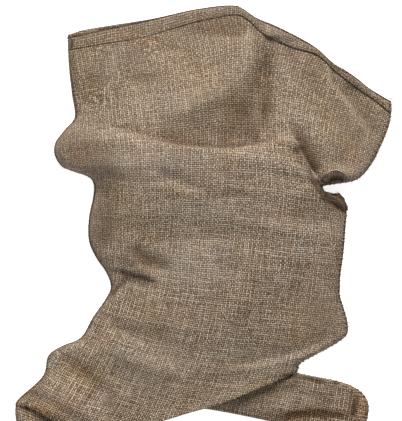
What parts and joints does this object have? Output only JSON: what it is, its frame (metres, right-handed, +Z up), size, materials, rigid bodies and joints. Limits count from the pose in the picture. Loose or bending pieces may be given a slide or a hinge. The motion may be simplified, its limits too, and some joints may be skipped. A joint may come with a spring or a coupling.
{
  "type": "empty jute sack, slumped on its back",
  "caption": "Empty jute sack with a hemmed mouth and sewn sides, slumped flat on its back with its front drooping over the bottom in one deep fold.",
  "frame": {"origin": "on the surface, under the middle of the sack's footprint", "axes": "+X to the right of someone looking down on the front panel, +Y from the bottom corners towards the mouth, +Z up from the surface"},
  "size_m": [0.667, 0.7832, 0.0896],
  "materials": {
    "jute_hessian": "coarse plain weave, matt"
  },
  "bodies": {
    "root": {"sack_cloth": "jute_hessian"}
  },
  "joints": []
}
